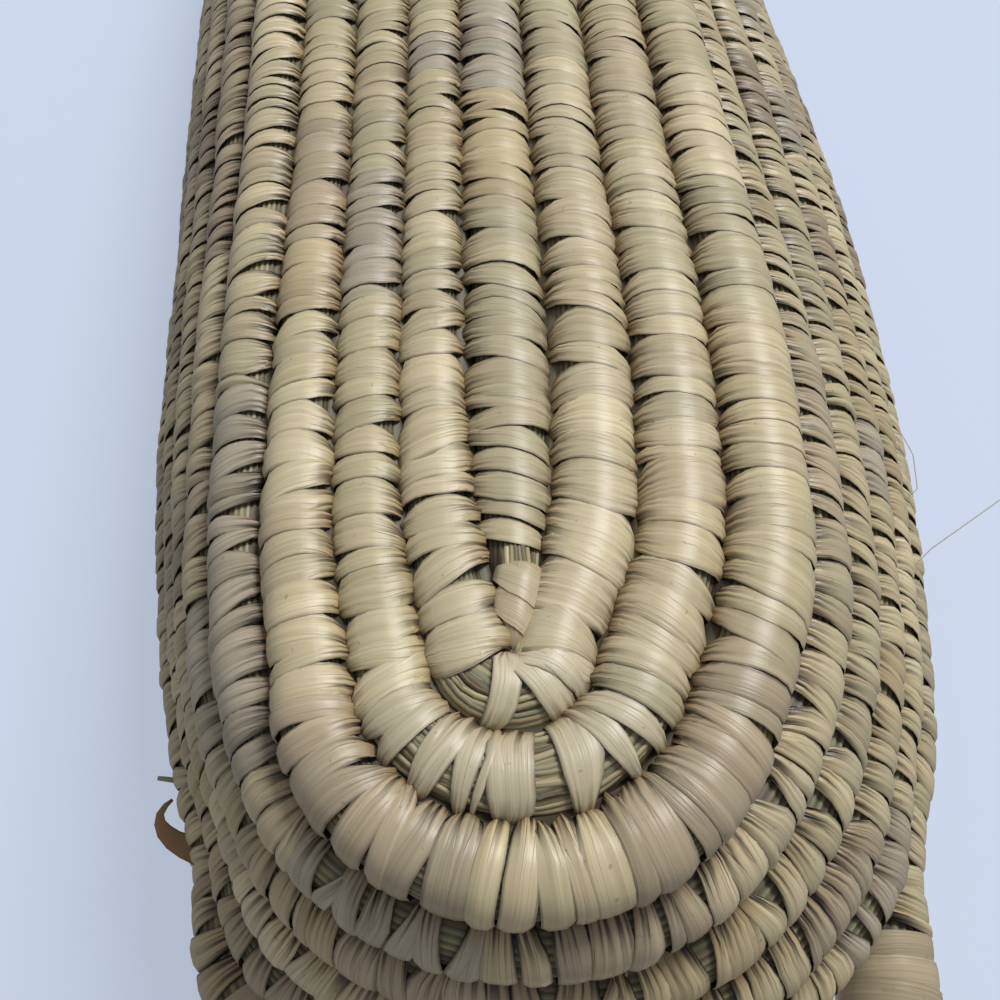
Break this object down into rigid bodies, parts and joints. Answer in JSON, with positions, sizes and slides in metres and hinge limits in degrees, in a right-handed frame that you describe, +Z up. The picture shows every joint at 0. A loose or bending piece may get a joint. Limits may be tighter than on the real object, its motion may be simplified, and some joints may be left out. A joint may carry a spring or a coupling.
{
  "type": "coiled basket",
  "caption": "Long oval coiled basket: a bundle of stalks bound in split leaf, wound into a flat base, a flaring wall and a rim that leaves the wall at each end as a handle.",
  "frame": {"origin": "under the middle of the basket, on the plane that its base stands on", "axes": "+Z up out of the open top, +X along the length towards the end where the coil starts, +Y across"},
  "size_m": [0.5084, 0.152, 0.0666],
  "materials": {
    "leaf_pale": "split palm leaf, straw to cream, fine lengthwise grain, satin",
    "leaf_tan": "split palm leaf, pinkish tan to grey-green, fine lengthwise grain, satin",
    "leaf_handle": "broad bands of palm leaf, smooth, satin",
    "leaf_brown": "dry curled leaf, matt",
    "stalk": "dry grass stalks, yellow-green to brown, matt"
  },
  "bodies": {
    "root": {"start_tie_1": "leaf_pale", "start_tie_2": "leaf_pale", "base_row_1_binding_left": "leaf_pale", "base_row_1_binding_right": "leaf_pale", "base_row_3_binding": "leaf_pale", "wall_row_2_binding": "leaf_pale", "wall_row_4_binding": "leaf_pale", "rim_left_binding": "leaf_pale", "rim_tail_binding": "leaf_pale", "start_binding": "leaf_tan", "middle_row_binding": "leaf_tan", "base_row_2_binding_left": "leaf_tan", "base_row_2_binding_right": "leaf_tan", "base_row_2_band_1": "leaf_tan", "base_row_2_band_2": "leaf_tan", "base_row_2_band_3": "leaf_tan", "base_row_2_band_4": "leaf_tan", "base_row_2_band_5": "leaf_tan", "wall_row_1_binding": "leaf_tan", "wall_row_3_binding": "leaf_tan", "rim_right_binding": "leaf_tan", "near_handle_binding": "leaf_handle", "far_handle_binding": "leaf_handle", "loose_leaf_end": "leaf_brown", "stalk_core": "stalk", "stray_stalk_1": "stalk", "stray_stalk_2": "stalk", "stray_stalk_3": "stalk", "bent_stalk_1": "stalk", "bent_stalk_2": "stalk", "bent_stalk_3": "stalk", "bent_stalk_4": "stalk", "loose_straw": "stalk"}
  },
  "joints": []
}
